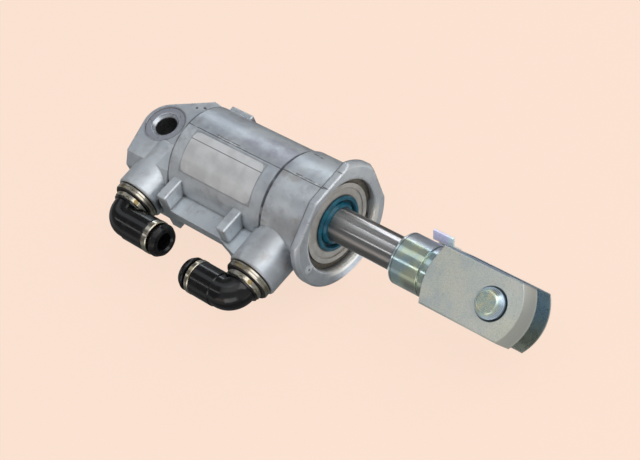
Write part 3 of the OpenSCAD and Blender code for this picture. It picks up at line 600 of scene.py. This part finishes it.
def clip_metal():
    """Zinc film in violet, blue and a warm white low down."""
    s = Surface("clip_zinc", (0.85, 0.83, 0.95), metallic=0.1, roughness=0.3)
    x, _, z = s.axes()
    film = s.noise(160, 2, 0.5, distortion=0.8)
    colour = s.mix(s.span(film, 0.38, 0.5), (0.74, 0.74, 0.95), (0.85, 0.80, 0.97))
    colour = s.mix(s.span(film, 0.56, 0.68), colour, (0.75, 0.97, 1.0))
    colour = s.mix(s.span(x, 115 * MM, 118 * MM, 0, 0.8), colour, (0.80, 1.0, 1.0))
    s.to("Base Color", s.mix(s.span(z, 0.2 * MM, -1.2 * MM, 0, 0.8), colour, (1.0, 0.98, 0.92)))
    s.to("Roughness", s.span(s.noise(1200, 3), 0.3, 0.7, 0.24, 0.4))
    s.to("Normal", s.bump(s.noise(900, 2), 0.15, 0.02 * MM, s.rounded(0.25 * MM)))
    return s


def grained(s, scale, low, high, rough_low, rough_high):
    """Give a plain surface one fine grain in its colour, gloss and bump."""
    grain = s.noise(scale, 3, 0.6)
    s.to("Base Color", s.mix(s.span(grain, 0.35, 0.7), low, high))
    s.to("Roughness", s.span(grain, 0.3, 0.7, rough_low, rough_high))
    s.to("Normal", s.bump(grain, 0.2, 0.02 * MM))
    return s


def rubber():
    s = Surface("black_rubber", (0.02, 0.02, 0.021), roughness=0.6)
    return grained(s, 3000, (0.014, 0.014, 0.015), (0.03, 0.03, 0.031), 0.5, 0.7)


def spring_steel():
    s = Surface("spring_steel", (0.2, 0.18, 0.15), metallic=0.85, roughness=0.4)
    return grained(s, 1500, (0.16, 0.14, 0.115), (0.3, 0.27, 0.22), 0.32, 0.5)


def plain_metal(name, low, high, rough):
    s = Surface(name, low, metallic=0.9, roughness=rough)
    return grained(s, 1300, low, high, rough - 0.08, rough + 0.08)


def plain_polymer(name, low, high):
    s = Surface(name, low, roughness=0.5)
    return grained(s, 1100, low, high, 0.42, 0.6)


dress(cast_metal(), "body_casting")
dress(cap_metal(), "gland")
dress(teal_rubber(), "rod_wiper")
dress(spring_steel(), "circlip")
dress(label_film(), "label_plate")
dress(nickel(), "port_studs", "cap_ring_rear", "cap_ring_front")
dress(rubber(), "gland_oring", "rod_seal", "bumper_rear", "bumper_front", "port_seals", "stud_skirts",
      "swivel_orings", "piston_seals", "tube_oring_rear", "tube_oring_front")
dress(black_plastic(), "elbow_rear", "elbow_front")
dress(gloss_black(), "release_rear", "release_front")
dress(polished_rod(), "piston_rod")
dress(fork_zinc(), "fork_head")
dress(pin_metal(), "clevis_pin")
dress(clip_metal(), "pin_clip")
dress(plain_metal("bush_bronze", (0.42, 0.27, 0.12), (0.55, 0.38, 0.2), 0.4), "rod_bush")
dress(plain_metal("turned_aluminium", (0.66, 0.66, 0.68), (0.76, 0.76, 0.78), 0.3), "piston")
dress(plain_metal("plated_steel", (0.5, 0.5, 0.5), (0.62, 0.62, 0.6), 0.35),
      "piston_nut", "grip_ring_rear", "grip_ring_front")
dress(plain_polymer("guide_polymer", (0.62, 0.56, 0.44), (0.72, 0.66, 0.55)), "guide_ring")

for node in nodes.values():
    node.data.shade_smooth()
    node.data.set_sharp_from_angle(angle=math.radians(SHARP_DEGREES))


# ---------------------------------------------------------------- stage

def width_at(distance, degrees):
    """How wide something is that fills these degrees from this far."""
    return 2 * distance * math.tan(math.radians(degrees / 2))


def back_to(place, way):
    """The matrix of a flat object at place that turns its back to way, and so faces the other way."""
    return Matrix.Translation(place) @ way.to_track_quat("Z", "Y").to_matrix().to_4x4()


def flat_piece(name, half_x, half_y, z=0.0):
    mesh = bpy.data.meshes.new(name)
    corners = [(-half_x, -half_y, z), (half_x, -half_y, z), (half_x, half_y, z), (-half_x, half_y, z)]
    mesh.from_pydata(corners, [], [(0, 1, 2, 3)])
    made = bpy.data.objects.new(name, mesh)
    bpy.context.scene.collection.objects.link(made)
    return made


def only_in_reflections(made):
    made.visible_camera = False
    made.visible_diffuse = False
    made.visible_shadow = False
    made.visible_transmission = False


def make_floor():
    """A floor that looks an even peach, also in metal, with a soft shadow. To other light it is grey."""
    floor = flat_piece("floor", 20, 20, floor_z)
    material = bpy.data.materials.new("floor")
    graph = Graph(material)
    rays = graph.node("ShaderNodeLightPath").outputs
    seen = graph.math("ADD", rays["Is Camera Ray"], rays["Is Glossy Ray"])
    seen = graph.math("ADD", seen, rays["Is Transmission Ray"], clamp=True)
    lit = graph.node("ShaderNodeBsdfDiffuse", {"Color": PEACH}).outputs[0]
    grey = graph.node("ShaderNodeBsdfDiffuse", {"Color": (0.6, 0.6, 0.6)}).outputs[0]
    peach = graph.node("ShaderNodeMixShader", {0: 0.9, 1: lit, 2: graph.glow(PEACH)}).outputs[0]
    graph.end_in(graph.node("ShaderNodeMixShader", {0: seen, 1: grey, 2: peach}).outputs[0])
    floor.data.materials.append(material)


def card(name, azimuth, elevation, wide, high, level, distance=1.3):
    """A grey studio card that only reflections see, wide x high degrees as seen from the middle."""
    made = flat_piece(name, width_at(distance, wide) / 2, width_at(distance, high) / 2)
    way = sight(azimuth, elevation)
    made.matrix_world = back_to(middle + way * distance, way)
    material = bpy.data.materials.new(name)
    graph = Graph(material)
    graph.end_in(graph.glow(level))
    made.data.materials.append(material)
    only_in_reflections(made)


def mat(half, base, pools):
    """A grey sheet on the floor that only reflections see, with soft oval pools of other levels.

    A pool is its middle and half size, x and y of each in mm, and its level.
    """
    made = flat_piece("mat", half, half)
    made.location.z = floor_z + 0.05 * MM
    s = Surface("mat", base)
    x, y, _ = s.axes()
    colour = base
    for at_x, at_y, half_x, half_y, level in pools:
        across = s.math("DIVIDE", s.math("SUBTRACT", x, at_x * MM), half_x * MM)
        along = s.math("DIVIDE", s.math("SUBTRACT", y, at_y * MM), half_y * MM)
        colour = s.mix(s.span(s.radius(across, along), 0.65, 1.25, 1, 0), colour, level)
    s.end_in(s.glow(colour))
    made.data.materials.append(s.material)
    only_in_reflections(made)


def make_world():
    """A neutral sky that turns to the floor's colour towards the horizon."""
    world = bpy.data.worlds.new("studio")
    graph = Graph(world)
    rise = graph.split(graph.node("ShaderNodeTexCoord").outputs["Generated"])[2]
    background = graph.tree.nodes["Background"]
    sky = graph.mix(graph.span(rise, 0.12, 0.36), PEACH, (0.34, 0.355, 0.38))
    graph.plug(background.inputs["Color"], sky)
    graph.plug(background.inputs["Strength"], 1)
    bpy.context.scene.world = world


make_floor()
make_world()
mat(1.2, (0.35, 0.355, 0.35), [(35, -50, 100, 60, (0.13, 0.135, 0.13)),
                               (20, 112, 96, 106, (0.06, 0.06, 0.062)),
                               (122, 75, 34, 52, (0.9, 0.9, 0.88)),
                               (134, -42, 26, 22, (0.5, 0.51, 0.47)),
                               (83.5, 0, 5, 8, (1.3, 1.32, 1.35))])
card("wall_left", -95, 30, 150, 110, (0.16, 0.16, 0.165))
card("wall_back", 178, 10, 60, 60, (0.14, 0.14, 0.145), distance=1.5)
card("wall_right", 80, 35, 110, 100, (0.35, 0.355, 0.36), distance=1.6)


# ---------------------------------------------------------------- light

def lamp(name, size_x, size_y, radiance, colour):
    """A flat lamp, size_x by size_y metres, that looks this bright and shines along its own -Z."""
    data = bpy.data.lights.new(name, "AREA")
    data.shape = "RECTANGLE"
    data.size = size_x
    data.size_y = size_y
    data.energy = radiance * math.pi * data.size * data.size_y
    data.color = colour
    made = bpy.data.objects.new(name, data)
    bpy.context.scene.collection.objects.link(made)
    return made


def softbox(name, azimuth, elevation, wide, high, radiance, distance=1.0, colour=(1, 1, 1), about=middle):
    """A flat lamp, wide x high degrees as seen from about."""
    made = lamp(name, width_at(distance, wide), width_at(distance, high), radiance, colour)
    way = sight(azimuth, elevation)
    made.matrix_world = back_to(about + way * distance, way)
    return made


def strip(name, start, end, wide, radiance, colour=(1, 1, 1), distance=1.0):
    """A long flat lamp between two directions, each an azimuth and elevation, and wide degrees across."""
    first, last = sight(*start), sight(*end)
    way = (first + last).normalized()
    along = (last - first).normalized()
    length = width_at(distance, math.degrees(first.angle(last)))
    made = lamp(name, length, width_at(distance, wide), radiance, colour)
    made.matrix_world = placed(middle + way * distance, along, way.cross(along), way)
    return made


def only_on(made, *names):
    """Let a lamp light these nodes alone."""
    group = bpy.data.collections.new("lit_by_" + made.name)
    for name in names:
        group.objects.link(nodes[name])
    made.light_linking.receiver_collection = group


strip("strip_low", (-129, 9), (-172, 42), 9, 2.6, colour=(0.88, 0.95, 1))
strip("strip_top", (-96, 28), (-96, 88), 20, 0.6, colour=(0.92, 0.97, 1))
strip("strip_front", (-62, 22), (-16, 47), 5, 1.7)
only_on(strip("rod_high", (128, 13), (242, 10), 11, 4.3, colour=(0.95, 0.96, 1)), "piston_rod")
only_on(strip("rod_mid", (95, 30), (265, 30), 3, 2.1), "piston_rod")
only_on(strip("rod_low", (60, 28), (-69, 22), 4, 1.2), "piston_rod")
only_on(softbox("clip_fill", 30, 40, 50, 40, 2.2, colour=(0.93, 0.93, 1)), "pin_clip")
softbox("key", 126, 47, 54, 42, 1.6)
softbox("fork_fill", 10, 4, 44, 30, 1.3, distance=0.2, about=Vector((0.145, 0, 0)))
softbox("overhead", 20, 78, 50, 40, 0.6)
bpy.context.scene.view_settings.view_transform = "Standard"
